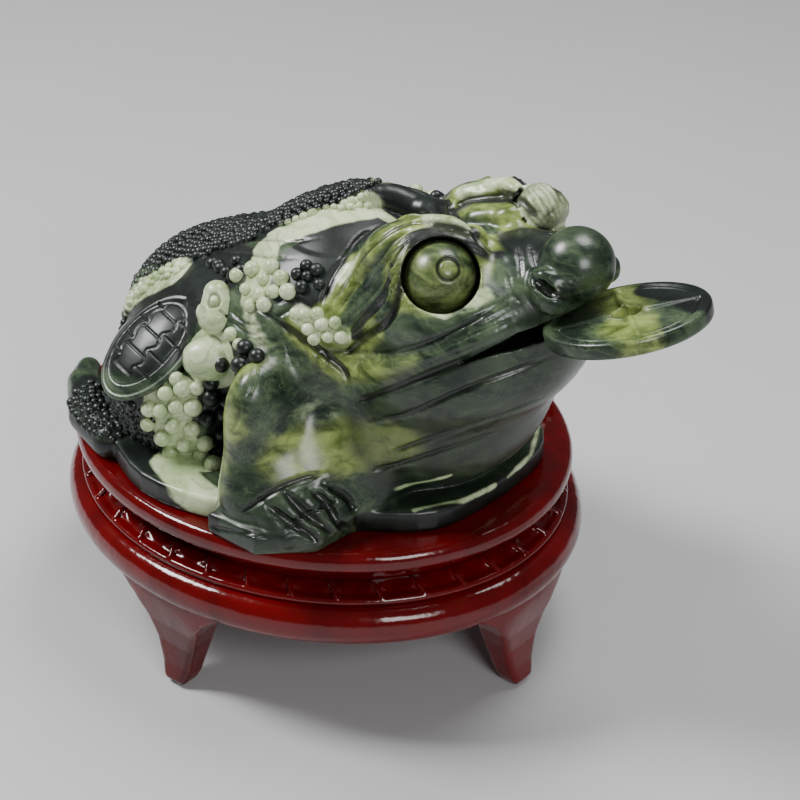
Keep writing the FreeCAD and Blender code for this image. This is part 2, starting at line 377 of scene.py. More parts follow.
def build_slab(clay):
    outline = list(SLAB) + [(x, -y) for x, y in reversed(SLAB[:-1])]
    clay.add(plan(curve_through(outline, 60, closed=True), 0, SLAB_THICK, 2), 1.5)


# ---- carving
def lay(clay, points, side=-1):
    """Slide points on to the stone along rays from SIGHT. Points are given for the left side."""
    points = mirrored(points, side)
    toward = mirrored(SIGHT, side) - points
    toward /= np.linalg.norm(toward, axis=1, keepdims=True)
    offsets = np.arange(16, -24, -0.5)
    trial = points[:, None] + toward[:, None] * offsets[None, :, None]
    inside = clay.sample(trial.reshape(-1, 3)).reshape(len(points), -1) < 0
    enters = inside.copy()
    enters[:, 1:] &= ~inside[:, :-1]
    enters[:, 0] = False
    chosen = np.where(enters.any(1), offsets[enters.argmax(1)] + 0.25, 0)
    return clay.settle(points + toward * chosen[:, None], 4)


def bar_on(clay, points, radius, count, side, taper, thin, lift):
    """A round bar on the stone, thinner toward its ends, lifted by a share of its radius."""
    line = lay(clay, curve_through(points, count), side)
    share = np.linspace(0, 1, len(line))
    fade = np.clip(np.minimum(share, 1 - share) * taper, thin, 1)
    return rope(line + clay.normal(line) * radius * lift, radius * fade)


def groove(clay, points, radius, count=24):
    """Cut a round-bottomed line into both sides of the stone, fading out at its ends."""
    for side in (-1, 1):
        clay.cut(bar_on(clay, points, radius, count, side, 6, 0.35, 0.15), radius * 0.35)


def ridge(clay, points, radius, proud=0.3, count=24, blend=2.0):
    """Raise a rounded ridge on both sides of the stone."""
    for side in (-1, 1):
        clay.add(bar_on(clay, points, radius, count, side, 5, 0.3, proud - 1), blend)


def between(first, second, share, count=24):
    """A line part of the way between two lines."""
    a, b = curve_through(first, count), curve_through(second, count)
    return a + (b - a) * share


LIP = (
    (50, 46, 60), (58, 47, 64), (70, 46, 69), (85, 46, 77), (97, 42, 84), (106, 36, 90), (114, 27, 95),
    (119, 18, 98))
LIP_UPPER = (
    (44, 48, 67), (48, 47, 69), (69, 44, 75), (82, 46, 82), (92, 44, 88), (100, 39, 94), (105, 34, 98),
    (111, 20, 104))
CHIN_LINES = (
    ((66, 48, 46), (76, 47, 52), (86, 46, 58), (98, 41, 67), (107, 35, 73), (116, 22, 77), (121, 7, 78)),
    ((70, 45, 32), (84, 42, 42), (100, 33, 51), (109, 20, 55), (114, 6, 57)),
    ((62, 46, 22), (76, 42, 30), (92, 30, 38), (103, 14, 42)))
FOLD = ((18, 52, 78), (32, 51, 74), (40, 50, 71), (48, 47, 66), (54, 46, 62), (56, 46, 55))
LID_LINE = (
    (50, 43, 66), (54, 43, 70), (60, 42, 77), (75, 45, 92), (75, 38, 107), (76, 31, 117), (82, 25, 119),
    (92, 21, 116), (98, 16, 111))
BROW_LINE = (
    (42, 42, 80), (43, 38, 86), (45, 33, 93), (53, 31, 106), (61, 25, 115), (72, 21, 119), (84, 17, 119),
    (92, 14, 116), (101, 11, 111))
NECK_LINE = ((40, 44, 81), (39, 40, 86), (38, 34, 92), (38, 26, 97), (38, 18, 101), (40, 10, 103))
ARCH = ((60, -6, 110), (63, -8, 113), (67, -11, 115), (81, -14, 119), (90, -14, 116), (97, -13, 112))
ARCH_PALE = ((56, -10, 111), (60, -13, 115), (73, -21, 119), (87, -18, 119))
LID_FORM = ((59, -12, 103), (71, -12, 109), (82, -13, 112), (90, -10, 110))
FLANK_LINES = (
    ((-28, 14, 76), (-14, 22, 84), (-2, 27, 90), (13, 29, 95), (25, 26, 99)), ((-36, 33, 69),
    (-33, 28, 73), (-22, 28, 78), (-4, 34, 86), (9, 37, 90), (23, 36, 94)), ((-44, 30, 66),
    (-36, 24, 72), (-22, 22, 80), (-8, 24, 88), (6, 26, 94)), ((24, 50, 81), (29, 48, 85), (34, 46, 84),
    (38, 46, 81)), ((26, 52, 77), (31, 49, 81), (36, 48, 79)), ((4, 54, 74), (14, 55, 72), (22, 53, 74)),
    ((6, 55, 70), (15, 56, 69), (22, 55, 70)))
EGG_GAP = ((-14, 64, 44), (-13, 62, 49), (-9, 60, 55), (-3, 59, 59), (6, 58, 62))
NOSTRIL = ((117, 20, 112), (119, 19, 110), (123, 16, 106), (127, 8, 101))
NOSTRIL_WING = ((114, 17, 112), (121, 15.5, 112.5), (127, 12, 109), (130, 8, 103))
NOSE_CREASES = (
    ((102, 2, 114), (109, 9, 112), (114, 13, 111)), ((98, 4, 112), (104, 10, 110), (109, 16, 106)),
    ((103, 16, 108), (108, 19, 103), (113, 20, 100)))


def mouth_gap(clay):
    """The gap between the lips, as deep as MOUTH_DEPTH under the stone's surface."""
    skin = clay.field.copy()
    reach = (60, -62, 45), (132, 62, 100)

    def distance(x, y, z):
        gap = np.abs(z - np.interp(x, *zip(*MOUTH_LINE))) - np.interp(x, *zip(*MOUTH_OPEN))
        return np.maximum(gap, -(skin[clay.window(*reach)[0]] + MOUTH_DEPTH)).astype(np.float32)

    gap = Solid(*reach, distance)
    gap.span = lambda margin: reach    # the skin is read over this very box
    return gap


def raise_head(clay):
    """What stands proud of the head: lips, lids, brows."""
    ridge(clay, LIP, 4.2, proud=0.45, blend=1.2)
    turns = np.linspace(0, 2 * pi, 41)
    wave = 1.2 * np.sin(3 * turns + 0.6)[:, None]
    for side in (-1, 1):
        axis = unit(mirrored(SOCKET_AXIS, side))
        out = circle(*square_to(axis), turns)
        rim = mirrored(EYE, side) + axis * (4.0 + wave) + out * (EYE_RADIUS + 2.6)
        clay.add(rope(rim, 2.3 + 0.8 * np.sin(turns)), 2.5)
    ridge(clay, between(LID_LINE, BROW_LINE, 0.12), 2.6, proud=0.55)
    ridge(clay, between(LID_LINE, BROW_LINE, 0.92), 3.2, proud=0.5, blend=2.5)
    ridge(clay, LID_FORM, 4.2, proud=0.5)
    ridge(clay, ARCH_PALE, 3.0, proud=0.5)
    ridge(clay, NOSTRIL_WING, 2.2, proud=0.5, blend=1.5)


def carve_head(clay):
    lines = [(LIP_UPPER, 1.2, 30)]
    lines += [(between(LIP_UPPER, LIP, share)[6:], 0.55, 30) for share in (0.35, 0.6)]
    lines += [(LID_LINE, 1.7, 34), (BROW_LINE, 1.2, 34)]
    lines += [(between(LID_LINE, BROW_LINE, share)[1:-1], 0.9, 34)
              for share in (0.24, 0.36, 0.48, 0.62, 0.76)]
    lines += [(NECK_LINE, 1.2, 24), (ARCH, 1.9, 24)] + [(line, 1.3, 28) for line in CHIN_LINES]
    lines += [(FOLD, 1.7, 24)]
    for k in range(6):
        crease = (22 + 4 * k, 53 - k, 76 - k), (28 + 4 * k, 54 - k, 68), (32 + 3.4 * k, 55 - k, 60)
        lines.append((crease, 0.55, 12))
    lines += [(line, 0.8, 12) for line in NOSE_CREASES]
    lines += [(NOSTRIL, 1.3, 14), (NOSTRIL[1:3], 2.0, 6), (MOUTH_CREASE, 1.5, 50)]
    lines += [([(x, y, z + 4.5) for x, y, z in MOUTH_CREASE[2:]], 0.7, 40)]
    for line in lines:
        groove(clay, *line)
    for side in (-1, 1):
        centre = mirrored(EYE, side)
        axis = unit(mirrored(SOCKET_AXIS, side))
        clay.cut(rope([centre, centre + axis * 34], EYE_RADIUS + EYE_GAP), 0.6)
    clay.cut(mouth_gap(clay), 0.5)


def carve_flanks(clay):
    for line in FLANK_LINES:
        groove(clay, line, 0.85, 30)
    groove(clay, EGG_GAP, 2.6, 20)


TOE_GAPS = (
    ((43, 81, 20), (52, 77, 13), (60, 73, 8), (63, 72, 4)), ((46, 74, 24), (54, 71, 15), (61, 67, 9),
    (65, 64, 5)), ((52, 65, 20), (57, 62, 16), (63, 61, 8), (66, 59, 5)), ((54, 59, 21), (61, 54, 15),
    (65, 54, 10)))
FOOT_SIDE = ((39, 85, 12), (50, 82, 7), (56, 79, 4), (60, 77, 2))
KNUCKLE = ((36, 86, 13), (41, 83, 18), (46, 77, 23), (50, 68, 25), (55, 57, 25))


def raise_toes(clay):
    lines = (FOOT_SIDE,) + TOE_GAPS
    for first, second in zip(lines[:-1], lines[1:]):
        ridge(clay, between(first, second, 0.5, 12), 4.6, proud=0.3, count=12, blend=1.5)


def carve_feet(clay):
    for line in TOE_GAPS:
        groove(clay, line, 1.8, 16)
    groove(clay, KNUCKLE, 1.4, 20)
    points = [curve_through(line, 10)[4] for line in (FOOT_SIDE,) + TOE_GAPS]
    groove(clay, points, 0.8, 20)
    groove(clay, ((23, 90, 5), (30, 89, 5.5), (44, 86, 8), (52, 82, 8)), 1.0, 14)
    groove(clay, ((24, 60, 62), (27, 66, 56), (26, 70, 50)), 0.7, 10)
    groove(clay, ((22, 68, 50), (25, 72, 44), (24, 76, 38)), 0.7, 10)


CURL = ((26, 0, 105), (32, 6, 106), (41, 9, 106), (51, 6, 107), (59, 0, 108), (65, -4, 110))
FAN = (90.0, 21.5, 113.8)
FAN_RADIUS = 10.4
FAN_POLE = (0.75, -0.1, -0.65)
FAN_GROOVES = 26


def build_curl(clay):
    """The leaf-shaped curl that lies on the neck, off the middle, with a small knob at its tip."""
    line = clay.settle(curve_through(CURL, 12))
    share = np.linspace(0, 1, len(line))
    clay.add(rope(line + (0, 0, 1.6), 1.2 + 4.8 * np.sin(pi * (0.12 + 0.88 * share) ** 0.75)), 0.5)
    clay.add(egg(line[-1] + np.array((2.5, -2.5, 1.5)), 2.6), 0.4)


def build_fan(clay):
    """The shell-like curl over the left eye."""
    clay.add(egg(FAN, FAN_RADIUS), 1.5)


def carve_fan(clay):
    """Fine grooves that run round the curl from pole to pole."""
    pole = unit(FAN_POLE)
    across, other = square_to(pole)
    for k in range(FAN_GROOVES):
        out = circle(across, other, 2 * pi * k / FAN_GROOVES)
        line = np.array(FAN) + (FAN_RADIUS + 0.05) * circle(pole, out, np.linspace(0.5, 2.7, 14))
        clay.cut(rope(line, 0.85), 0.3)


def build_toad():
    clay = Clay((-106, -96, -3), (140, 96, 130), STEP)
    build_masses(clay)
    for side in (-1, 1):
        build_front_leg(clay, side)
        build_rear_foot(clay, side)
    build_slab(clay)
    raise_head(clay)
    raise_toes(clay)
    build_fan(clay)
    build_curl(clay)
    clay.skin = clay.field.copy()
    carve_head(clay)
    carve_fan(clay)
    carve_flanks(clay)
    carve_feet(clay)
    clay.cut(block([((0, 0, 0), (0, 0, 1))], (-106, -96, -3), (140, 96, 1), 0))
    return clay


# ---- eyes
def turned_mesh(name, outline, centre, axis, count=96):
    """A surface turned about an axis: outline is (radius, distance along the axis)."""
    axis = unit(axis)
    spokes = circle(*square_to(axis), 2 * pi * np.arange(count) / count)
    points = np.concatenate([centre + axis * along + radius * spokes for radius, along in outline])
    rings = len(outline)
    faces = []
    for first in range(0, (rings - 1) * count, count):
        for i in range(count):
            j = (i + 1) % count
            faces.append((first + count + i, first + count + j, first + j, first + i))
    faces.append(list(range(count)))
    faces.append(list(reversed(range((rings - 1) * count, rings * count))))
    return new_mesh(name, to_row(points), faces)


PUPIL, PUPIL_RING = 3.3, 1.1


def eye_height(radius):
    """How far the eyeball's front stands out at a distance from its axis."""
    dip = exp(-((radius - PUPIL - PUPIL_RING / 2) / (PUPIL_RING * 0.6)) ** 2)
    return sqrt(max(EYE_RADIUS ** 2 - radius ** 2, 0)) + 0.3 * exp(-(radius / PUPIL) ** 4) - dip


def build_eye(side):
    """An eyeball with a raised round pupil inside a ring groove."""
    outline = [(max(EYE_RADIUS * sin(t), 0.02), -EYE_RADIUS * cos(t))
               for t in map(radians, range(0, 91, 5))]
    outline += [(EYE_RADIUS * cos(t), EYE_RADIUS * sin(t)) for t in map(radians, range(5, 50, 5))]
    outline += [(radius, eye_height(radius)) for radius in np.linspace(8.4, 0.02, 60)]
    name = "eye_left" if side > 0 else "eye_right"
    return turned_mesh(name, outline, mirrored(EYE, side), mirrored(GAZE, side))


# ---- beads
def ball_mesh(name, centres, radii, rounds=1):
    """Many small balls in one mesh."""
    shape = bmesh.new()
    bmesh.ops.create_icosphere(shape, subdivisions=rounds + 1, radius=1)
    corner = np.array([v.co[:] for v in shape.verts])
    face = np.array([[v.index for v in f.verts] for f in shape.faces])
    shape.free()
    points = (np.array(centres)[:, None] + corner[None] * np.array(radii)[:, None, None]).reshape(-1, 3)
    faces = (face[None] + (np.arange(len(centres)) * len(corner))[:, None, None]).reshape(-1, 3)
    return new_mesh(name, to_row(points), faces)


def spread(clay, seeds, inside, gap, rng, rounds=8):
    """Evenly spaced points on the stone, where inside(points) is true."""
    seeds = seeds[inside(seeds)]
    seeds = seeds[rng.permutation(len(seeds))]
    cells, chosen = {}, []
    reach = gap * 0.8
    for point in seeds:
        a, b, c = np.floor(point / reach).astype(int) - 1
        near = [q for i, j, k in np.ndindex(3, 3, 3) for q in cells.get((a + i, b + j, c + k), ())]
        if all(((point - q) ** 2).sum() > reach * reach for q in near):
            cells.setdefault((a + 1, b + 1, c + 1), []).append(point)
            chosen.append(point)
    points = np.array(chosen)
    for _ in range(rounds):
        away = points[:, None] - points[None]
        far = np.sqrt((away ** 2).sum(2)) + 1e-6
        push = np.clip(gap - far, 0, gap) * (far > 1e-3)
        points = points + (away / far[:, :, None] * push[:, :, None]).sum(1) * 0.35
        points = clay.settle(points, 2)
    return points[inside(points)]


# x along the back, and half the width of the beaded band there
BAND = ((-90, 46), (-72, 44), (-58, 38), (-44, 33), (-38, 24), (-20, 23), (-3, 25), (7, 21), (21, 13),
        (25, 8), (31, 0))
BACK_GAP, KNOB_GAP = 3.2, 3.4          # from bead to bead


def on_back(points):
    half = np.interp(points[:, 0], *zip(*BAND))
    x, y, z = points.T
    return (x > -88) & (x < 29) & (np.abs(y) < half) & (z > 24)


def on_knobs(points):
    """The knobbly skin under the turtle's shell, at the foot of the haunch."""
    x, y, z = points[:, 0], np.abs(points[:, 1]), points[:, 2]
    return (x < -18) & (x > -72) & (z > 10) & (z < 30) & (y > 38)


CREAM_BEADS = (
    (-14, 65, 42), (-16, 69, 37), (-11, 65, 39), (-6, 62, 40), (-16, 72, 31), (-11, 69, 33),
    (-6, 65, 33), (-20, 75, 25), (-11, 71, 26), (-5, 67, 25), (-15, 73, 20), (-4, 62, 17), (-9, 68, 17),
    (-15, 70, 12), (-6, 63, 9), (2, 64, 9), (-11, 73, 14), (-20, 74, 31))
DARK_BEADS = (
    (25, 61, 64), (17, 58, 64), (15, 59, 56), (6, 60, 54), (1, 61, 45), (-1, 60, 37), (-2, 62, 28),
    (3, 58, 31), (1, 58, 21), (-3, 57, 11), (6, 59, 38))
PEARLS = (
    (6, 42, 86), (14, 45, 86), (21, 43, 88), (14, 40, 89), (8, 48, 81), (16, 49, 82), (21, 47, 84),
    (14, 52, 78), (20, 51, 80), (1, 45, 83), (26, 45, 85))
SIDE_PEARLS = (
    (36, 47, 80), (40, 45, 81), (39, 49, 76), (43, 46, 78), (47, 43, 79), (42, 49, 73), (46, 46, 74),
    (50, 43, 74), (8, 57, 66), (13, 58, 64), (33, 49, 80))
DARK_CLUSTERS = (
    (-16, 37, 77), (-4, 42, 80), (-6, 46, 77), (-1, 41, 83), (-25, 32, 74), (-11, 39, 78), (-20, 34, 76),
    (-10, 34, 81), (27, 41, 91), (31, 40, 91), (33, 37, 93), (28, 37, 93), (36, 39, 89), (31, 43, 88))


def build_beads(clay, seeds):
    rng = np.random.default_rng(7)
    points = spread(clay, seeds, on_back, BACK_GAP, rng)
    radii = BACK_GAP * 0.58 * (1 + 0.16 * rng.standard_normal(len(points))).clip(0.75, 1.3)
    pieces = [ball_mesh("back_beads", points + clay.normal(points) * 0.25, radii)]
    points = spread(clay, seeds, on_knobs, KNOB_GAP, rng)
    radii = 1.8 * (1 + 0.2 * rng.standard_normal(len(points))).clip(0.6, 1.4)
    pieces.append(ball_mesh("haunch_knobs", points - clay.normal(points) * 0.6, radii))
    for name, places, size, out in (("cream_beads", CREAM_BEADS, 3.15, 1.0),
                                    ("dark_beads", DARK_BEADS, 3.15, 1.0), ("pearls", PEARLS, 2.9, 0.5),
                                    ("side_pearls", SIDE_PEARLS, 2.4, 0.3),
                                    ("dark_clusters", DARK_CLUSTERS, 2.5, 0.2)):
        points = np.concatenate([lay(clay, places, side) for side in (-1, 1)])
        radii = size * (1 + 0.09 * rng.standard_normal(len(points))).clip(0.8, 1.15)
        pieces.append(ball_mesh(name, points + clay.normal(points) * out, radii, 2))
    return pieces


# ---- the small turtle on the right flank
SHELL = (-32, 61, 48)
SHELL_RADII = (23, 15.5, 8)
SHELL_ALONG = (0.25, 0.63, 0.73)
TURTLE_HEAD = (-6, 50, 69)
EGG = (0, 60, 54)
IMAGE_UP = (-0.334, 0.398, 0.8545)      # up along the flank as it is looked at


def build_turtle(clay):
    """A turtle's shell, its raised head, and the round belly of stone under the head."""
    cuts = []
    turtle = Clay((-72, -96, 12), (24, -22, 92), STEP * 0.55)
    centre = lay(clay, [SHELL])[0]
    out = clay.normal([centre])[0]
    along = unit(np.array(SHELL_ALONG) - out * np.dot(SHELL_ALONG, out))
    aside = np.cross(out, along)
    centre = centre - out * 2.5
    turtle.add(egg(centre, SHELL_RADII, np.stack([along, aside, out], 1)))
    turns = np.linspace(0, 2 * pi, 49)
    wide, tall = along * (SHELL_RADII[0] + 0.5), aside * (SHELL_RADII[1] + 0.5)
    rim = centre + circle(wide, tall, turns) + out * 1.4
    turtle.add(rope(rim, 1.0), 1.6)

    def on_shell(u, v):
        height = sqrt(max(1 - (u / SHELL_RADII[0]) ** 2 - (v / SHELL_RADII[1]) ** 2, 0))
        return centre + along * u + aside * v + out * height * SHELL_RADII[2]

    for side in (-1, 1):
        edge = [on_shell(u, side * (5.5 + 1.2 * sin(u * 0.75))) for u in np.linspace(-17, 17, 25)]
        cuts.append(rope(edge, 0.45))
    for u in (-13, -4.5, 4.5, 13):
        cuts.append(rope([on_shell(u, v) for v in np.linspace(-5.5, 5.5, 9)], 0.5))
        for side in (-1, 1):
            seam = [on_shell(u * 0.9 + 2.5, side * v) for v in np.linspace(5.5, 12.5, 7)]
            cuts.append(rope(seam, 0.5))
    cuts.append(rope([on_shell(19 * cos(t), 12.4 * sin(t)) for t in turns], 0.5))
    face, belly = lay(clay, [TURTLE_HEAD, EGG])
    look = unit(mirrored(SIGHT, -1) - face)
    upward = unit(np.array(IMAGE_UP) - look * np.dot(IMAGE_UP, look))
    across = np.cross(upward, look)
    head = face + look * 0.5
    turtle.add(rope([head - upward * 3.0, head + upward * 5.5], (7.2, 5.0)), 1.0)
    turtle.add(egg(head + upward * 1.0 + across * 4.4, 3.6), 2.5)
    eye_at = turtle.settle([head + look * 7.0 + upward * 3.2 - across * 1.6])[0]
    ring = turtle.settle(eye_at + 2.5 * circle(across, upward, turns))
    mouth = [head + look * 7 + across * (1.5 + j) - upward * (1.0 + 0.6 * j) for j in range(6)]
    mouth = turtle.settle(mouth)
    cuts += [rope(ring, 0.75), rope(mouth, 0.7)]
    turtle.add(egg(eye_at - look * 0.6, 1.5), 0.2)
    neck = [centre + along * 17, centre + along * 23, head - upward * 4 - across * 2]
    turtle.add(rope(neck, (4, 3, 3.5)), 1)
    turtle.add(egg(belly - look, (11, 8.5, 7.5), np.stack([across, upward, look], 1)))
    turtle.skin = turtle.field.copy()
    for line in cuts:
        turtle.cut(line, 0.2)
    return turtle


# ---- the coin
COIN_AT = (143.7, 0, 96.45)
COIN_PITCH = 16
COIN_RADIUS, COIN_HALF, COIN_HOLE = 29.6, 3.1, 4.3


def in_mouth(points):
    """From the coin's own flat frame to its place in the mouth."""
    return to_row(np.asarray(points, float) @ turn_matrix(COIN_PITCH).T + COIN_AT)


def build_coin():
    """A cash coin with a rim, a square hole, and four ridges from the hole's corners."""
    reach, hole = COIN_RADIUS + 2, COIN_HOLE + 2
    coin = Clay((-reach, -reach, -COIN_HALF - 2), (reach, reach, COIN_HALF + 2), STEP * 0.5)
    coin.add(disc(COIN_RADIUS, -COIN_HALF, COIN_HALF, 2.0))
    turns = np.linspace(0, 2 * pi, 73)
    for side in (-1, 1):
        upward = np.array((0, 0, side))
        low, high = sorted((side * (COIN_HALF - 0.8), side * (COIN_HALF + 3)))
        coin.cut(disc(COIN_RADIUS - 3.6, low, high, 0.4), 0.5)
        ring = circle(*np.eye(3)[:2], turns) * (COIN_RADIUS - 5.2)
        coin.cut(rope(ring + upward * (COIN_HALF - 0.9), 0.45), 0.2)
        for k in range(4):
            out = circle(*np.eye(3)[:2], radians(45 + 90 * k))
            line = [out * radius + upward * (COIN_HALF - 0.8) for radius in (5.5, 25.8)]
            coin.add(rope(line, (1.5, 0.7)), 1.2)
        edge = [(COIN_HOLE * 1.25 * a, COIN_HOLE * 1.25 * b, side * (COIN_HALF - 1.0))
                for a, b in ((1, 1), (-1, 1), (-1, -1), (1, -1), (1, 1))]
        coin.add(rope(edge, 0.9), 0.5)
    faces = [((COIN_HOLE * a, COIN_HOLE * b, 0), (a, b, 0))
             for a, b in ((1, 0), (-1, 0), (0, 1), (0, -1))]
    coin.cut(block(faces, (-hole, -hole, -6), (hole, hole, 6), 0.5), 0.3)
    return coin.mesh("coin_disc", in_mouth)


# ---- the stand
OVAL = 0.86
DECK_HALF, DECK_LOW_Z, DECK_TOP_Z = 106.0, 72.5, 81.5
APRON_HALF, APRON_INNER, APRON_LOW_Z, APRON_TOP_Z = 111.0, 84.0, 42.0, 58.0
BEAD_INNER, BEAD_OUTER = 93.2, 104.8
FINS = 36
LEG_TOP = 49.0
LEG_INSET = 2.6                        # from the ring's edge in to a leg
LEG_NAMES = ("front", "left", "rear", "right")


def bullnose(outer, inner, low, high, bulge, steps=22):
    """Outline of a board with a rounded edge, as (radius, height), with eased corners."""
    middle, half = (low + high) / 2, (high - low) / 2
    arc = []
    for i in range(steps + 1):
        turn = radians(-90 + 180 * i / steps)
        arc.append((outer - bulge + bulge * cos(turn), middle + half * sin(turn)))
    ease = min(0.5, inner / 2)
    start = [(inner, high - ease), (inner, low + ease), (inner + ease, low), (inner + 4, low)]
    start.append((outer - bulge - 4, low))
    return start + arc + [(outer - bulge - 4, high), (inner + 4, high), (inner + ease, high)]


def oval_mesh(name, outline, count=288):
    """A closed ring turned about Z, squeezed in Y."""
    turns = np.linspace(0, 2 * pi, count, endpoint=False)
    points = [(radius * cos(t), radius * OVAL * sin(t), height)
              for t in turns for radius, height in outline]
    size = len(outline)
    faces = []
    for a in range(0, count * size, size):
        b = (a + size) % (count * size)
        for j in range(size):
            k = (j + 1) % size
            faces.append((a + j, b + j, b + k, a + k))
    return new_mesh(name, on_floor(points), faces)


def build_beading():
    """The carved band round the waist: hollowed blocks parted by small raised fins."""
    reach = BEAD_OUTER + 2
    band = Clay((-reach, -reach * OVAL - 2, 56), (reach, reach * OVAL + 2, 68), STEP * 0.75)
    band.add(disc(BEAD_OUTER, 58.0, 61.2, 2.2, OVAL))
    band.add(disc(BEAD_OUTER - 5.5, 58.0, 63.4, 3.0, OVAL), 2.0)
    for k in range(FINS):
        turn = 2 * pi * k / FINS
        line = []
        for radius, height, twist in ((95.5, 63.8, -0.014), (99.5, 63.0, 0.0), (103.0, 61.0, 0.012)):
            line.append((radius * cos(turn + twist), radius * OVAL * sin(turn + twist), height))
        band.add(rope(line, (0.7, 1.0, 0.9)), 0.5)
        half = turn + pi / FINS
        scoop = (101.0 * cos(half), 101.0 * OVAL * sin(half), 64.2)
        band.cut(egg(scoop, (6.2, 6.2, 2.2)), 1.0)
    band.cut(disc(BEAD_INNER, 50, 80, 0.2, OVAL))
    return band.mesh("beading_band", on_floor)


def past_oval(half, across, low, high):
    """Everything outside an oval seen from above, whose middle lies at (-half, 0)."""
    def distance(x, y, z):
        ratio = np.sqrt(((x + half) / half) ** 2 + (y / across) ** 2)
        return ((1 - ratio) * half - LEG_INSET + 0 * z).astype(np.float32)

    return Solid(low, high, distance)


def build_leg(number):
    """A bracket leg: a wide web under the ring, drawn in to a narrow rounded foot."""
    widths = ((34, LEG_TOP), (29, 44), (23.5, 41), (18.5, 37), (14, 30), (10.8, 22), (8.2, 13), (6.2, 5),
              (4.4, 0))
    front = widths + tuple((-half, height) for half, height in reversed(widths))
    side = ((-4.5, LEG_TOP), (-2.6, 45), (-2.6, 41), (-4.0, 35), (-5.6, 28), (-6.8, 19), (-6.4, 9),
            (-5.0, 3), (-6.4, 0), (-14.5, 0), (-17, 4), (-20, 20), (-20, LEG_TOP))
    reach = ((-24, -38, -2), (2, 38, LEG_TOP + 3))
    leg = Clay(*reach, STEP * 0.65)
    leg.add(bracket(front, side, 3.0))
    half, across = APRON_HALF, APRON_HALF * OVAL
    if number % 2:
        half, across = across, half
    leg.cut(past_oval(half, across, *reach), 1.5)
    turn = radians(90 * number)
    out, aside = (cos(turn), sin(turn), 0), (-sin(turn), cos(turn), 0)

    def placed(points):
        return on_floor((np.asarray(points, float) + (half, 0, 0)) @ np.array((out, aside, (0, 0, 1))))

    return leg.mesh("bracket_leg_" + LEG_NAMES[number], placed)


def stand_piece(piece, node):
    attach(piece, "stand")
    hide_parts(node)
    return piece


lacquered = [
    stand_piece(oval_mesh("deck_board", bullnose(DECK_HALF, 0.02, DECK_LOW_Z, DECK_TOP_Z, 4.0)),
                "stand_deck"),
    stand_piece(oval_mesh("apron_ring", bullnose(APRON_HALF, APRON_INNER, APRON_LOW_Z, APRON_TOP_Z, 7.0)),
                "stand_apron"),
    stand_piece(build_beading(), "stand_beading")]
lacquered += [stand_piece(build_leg(number), "leg_" + name) for number, name in enumerate(LEG_NAMES)]


def on_toad(piece):
    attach(piece, "toad")
    return piece


def corners(piece):
    """A piece's vertices in millimetres, in the toad's frame."""
    row = np.empty(len(piece.data.vertices) * 3, np.float32)
    piece.data.vertices.foreach_get("co", row)
    return (row.reshape(-1, 3) - TOAD_ORIGIN) * MM


clay = build_toad()
toad = on_toad(clay.mesh("toad_stone"))
stones = [toad] + [on_toad(build_eye(side)) for side in (-1, 1)]
stones += [on_toad(piece) for piece in build_beads(clay, corners(toad))]
turtle_clay = build_turtle(clay)
turtle = on_toad(turtle_clay.mesh("small_turtle"))
stones.append(turtle)
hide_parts("toad_carving")
coin = build_coin()
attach(coin, "coin")
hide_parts("coin")


# ---- colour of the stone
# A stroke is the points of a line on the left, the radius of full colour, how far it fades beyond
# that, how strong it is, and, when it lies on one side alone, that side.
CREAM = (
    (((29, 5, 105), (24, 12, 103), (17, 21, 101), (8, 28, 97), (3, 33, 92)), 4, 4, 1.0),
    (((4, 32, 92), (10, 42, 87), (12, 48, 81)), 4.5, 4, 1.0),
    (((12, 50, 79), (16, 54, 72), (26, 55, 66)), 2.5, 4, 0.5),
    (((46, 27, 99), (43, 33, 92)), 2, 4, 0.75),
    ((EGG,), 11, 2, 1.0),
    (((-16, 71, 34), (-11, 67, 38), (-12, 71, 25), (-10, 69, 15), (-2, 64, 9)), 6.5, 2, 1.0),
    (((-12, 72, 8), (0, 78, 8), (12, 81, 7)), 6, 4, 0.95),
    (((19, 86, 4), (21, 78, 22), (23, 68, 42)), 2.5, 4, 0.7),
    (((24, 62, 60), (30, 64, 55)), 3, 6, 0.42),
    (((38, 56, 49), (49, 50, 46), (34, 68, 46)), 2, 9, 0.36),
    (((73, 41, 101), (78, 41, 97.5), (84, 42, 97), (95, 40, 97), (103, 33, 100)), 0.6, 1.6, 0.62),
    (((58, 52, 15), (72, 36, 16), (88, 27, 22)), 0.4, 2, 0.75),
    (((80, 38, 9), (90, 20, 9), (92, 4, 8)), 0.3, 2, 0.72),
    (((30, -3, 104), (40, -3, 103), (52, -4, 106)), 1.5, 2, 0.8, 1),
    (((100, 33, 102), (103, 28, 104)), 2, 4, 0.7),
    ((FAN,), 10, 2, 1.0, 1),
    (((60, -13, 115), (73, -20, 119), (86, -18, 119)), 2.5, 3, 0.75),
    (((-46, 32, 62), (-56, 35, 52), (-66, 33, 42)), 6, 4, 0.66),
    (((67, 6, 111),), 3, 1.5, 1.0, -1),
    (((34, 47, 79), (43, 46, 77), (50, 43, 75)), 3, 3, 0.62),
)
